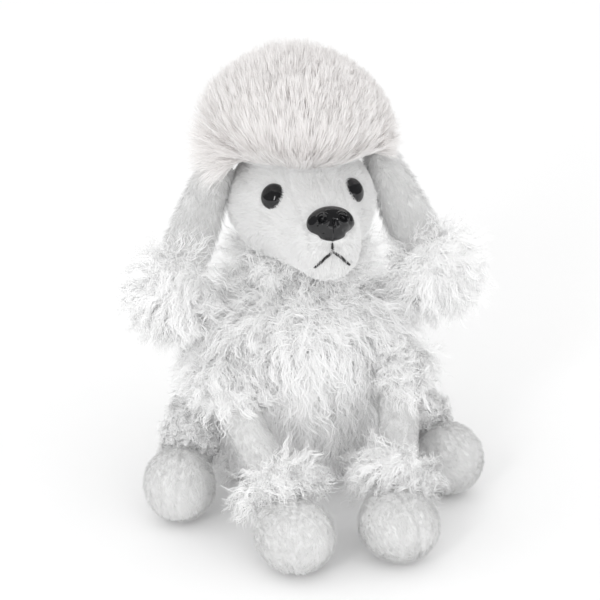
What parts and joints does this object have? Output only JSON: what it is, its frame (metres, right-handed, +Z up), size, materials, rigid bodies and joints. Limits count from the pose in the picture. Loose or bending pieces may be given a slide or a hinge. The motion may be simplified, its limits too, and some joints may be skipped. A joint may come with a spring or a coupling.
{
  "type": "plush poodle",
  "caption": "Sitting stuffed poodle in white plush, with a silky topknot, curly body and pompon ears, cuffs and tail.",
  "frame": {"origin": "middle of the flat seat panel, on the surface the toy sits on", "axes": "+Z up; the dog faces -Y; its left side is +X"},
  "size_m": [0.151, 0.1924, 0.1889],
  "materials": {
    "curly_pile": "long curly white pile in wavy locks",
    "short_pile": "short soft white plush",
    "long_pile": "long straight silky white pile, combed up",
    "fibrefill": "loose white polyester filling",
    "pellets": "loose plastic pellets in a thin bag",
    "black_plastic": "glossy moulded black",
    "white_plastic": "plain moulded washer",
    "black_thread": "black embroidery thread"
  },
  "bodies": {
    "torso": {"seat_panel": "short_pile", "body_skin_left": "curly_pile", "pellet_bag": "pellets", "body_filling": "fibrefill", "body_skin_right": "curly_pile"},
    "neck": {"neck_filling": "fibrefill", "neck_skin": "curly_pile"},
    "head": {"eye_left": "black_plastic", "eye_washer_left": "white_plastic", "nose": "black_plastic", "nose_washer": "white_plastic", "head_skin_left": "short_pile", "forehead_gusset": "short_pile", "head_filling": "fibrefill", "topknot_cap": "long_pile", "topknot_filling": "fibrefill", "mouth_stitches": "black_thread", "eye_right": "black_plastic", "eye_washer_right": "white_plastic", "head_skin_right": "short_pile"},
    "ear_left": {"ear_left": "short_pile", "ear_tip_left": "curly_pile"},
    "ear_right": {"ear_right": "short_pile", "ear_tip_right": "curly_pile"},
    "foreleg_left": {"forepaw_skin_left": "short_pile", "forepaw_pellets_left": "pellets", "foreleg_skin_left": "short_pile", "foreleg_filling_left": "fibrefill", "foreleg_cuff_left": "curly_pile"},
    "foreleg_right": {"forepaw_skin_right": "short_pile", "forepaw_pellets_right": "pellets", "foreleg_skin_right": "short_pile", "foreleg_filling_right": "fibrefill", "foreleg_cuff_right": "curly_pile"},
    "hindleg_left": {"hindpaw_skin_left": "short_pile", "hindpaw_pellets_left": "pellets", "hindleg_skin_left": "short_pile", "hindleg_filling_left": "fibrefill", "hindleg_cuff_left": "curly_pile"},
    "hindleg_right": {"hindpaw_skin_right": "short_pile", "hindpaw_pellets_right": "pellets", "hindleg_skin_right": "short_pile", "hindleg_filling_right": "fibrefill", "hindleg_cuff_right": "curly_pile"},
    "tail": {"tail_skin": "short_pile", "tail_filling": "fibrefill", "tail_pompon": "curly_pile"}
  },
  "joints": [
    {"name": "head_turn", "type": "hinge", "parent": "torso", "child": "neck", "pos_m": [0, -0.022, 0.101], "axis": [0, 0, 1], "range_deg": [-35, 35]},
    {"name": "head_nod", "type": "hinge", "parent": "neck", "child": "head", "pos_m": [0, -0.022, 0.101], "axis": [1, 0, 0], "range_deg": [-12, 12]},
    {"name": "ear_left_lift", "type": "hinge", "parent": "head", "child": "ear_left", "pos_m": [0.036, -0.021, 0.144], "axis": [0, -1, 0], "range_deg": [0, 55]},
    {"name": "ear_right_lift", "type": "hinge", "parent": "head", "child": "ear_right", "pos_m": [-0.036, -0.021, 0.144], "axis": [0, 1, 0], "range_deg": [0, 55]},
    {"name": "foreleg_left_swing", "type": "hinge", "parent": "torso", "child": "foreleg_left", "pos_m": [0.03824, -0.04754, 0.06], "axis": [-1, 0, 0], "range_deg": [0, 45]},
    {"name": "foreleg_right_swing", "type": "hinge", "parent": "torso", "child": "foreleg_right", "pos_m": [-0.03824, -0.04754, 0.06], "axis": [-1, 0, 0], "range_deg": [0, 45]},
    {"name": "hindleg_left_swing", "type": "hinge", "parent": "torso", "child": "hindleg_left", "pos_m": [0.04572, -0.0183, 0.03], "axis": [-1, 0, 0], "range_deg": [0, 30]},
    {"name": "hindleg_right_swing", "type": "hinge", "parent": "torso", "child": "hindleg_right", "pos_m": [-0.04572, -0.0183, 0.03], "axis": [-1, 0, 0], "range_deg": [0, 30]},
    {"name": "tail_wag", "type": "hinge", "parent": "torso", "child": "tail", "pos_m": [0, 0.02963, 0.033], "axis": [0, 0, 1], "range_deg": [-35, 35]}
  ]
}
